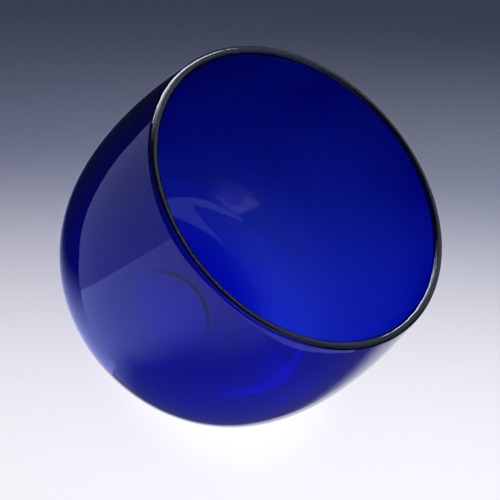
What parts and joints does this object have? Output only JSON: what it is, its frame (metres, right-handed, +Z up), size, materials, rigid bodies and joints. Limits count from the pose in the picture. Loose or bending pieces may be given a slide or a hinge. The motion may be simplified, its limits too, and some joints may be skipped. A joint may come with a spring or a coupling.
{
  "type": "finger bowl",
  "caption": "Round blown-glass finger bowl with a wide belly, a slightly drawn-in mouth with a rounded lip, and a flat base ground hollow in the middle.",
  "frame": {"origin": "centre of the base, on the plane that the bowl rests on", "axes": "+Z up along the bowl's axis, out of its mouth; X and Y are any two level directions, as the bowl is round"},
  "size_m": [0.1192, 0.1192, 0.0897],
  "materials": {
    "cobalt_glass": "clear cobalt blue glass, fire-polished and glossy, worn matt on the resting ring"
  },
  "bodies": {
    "root": {"bowl": "cobalt_glass"}
  },
  "joints": []
}
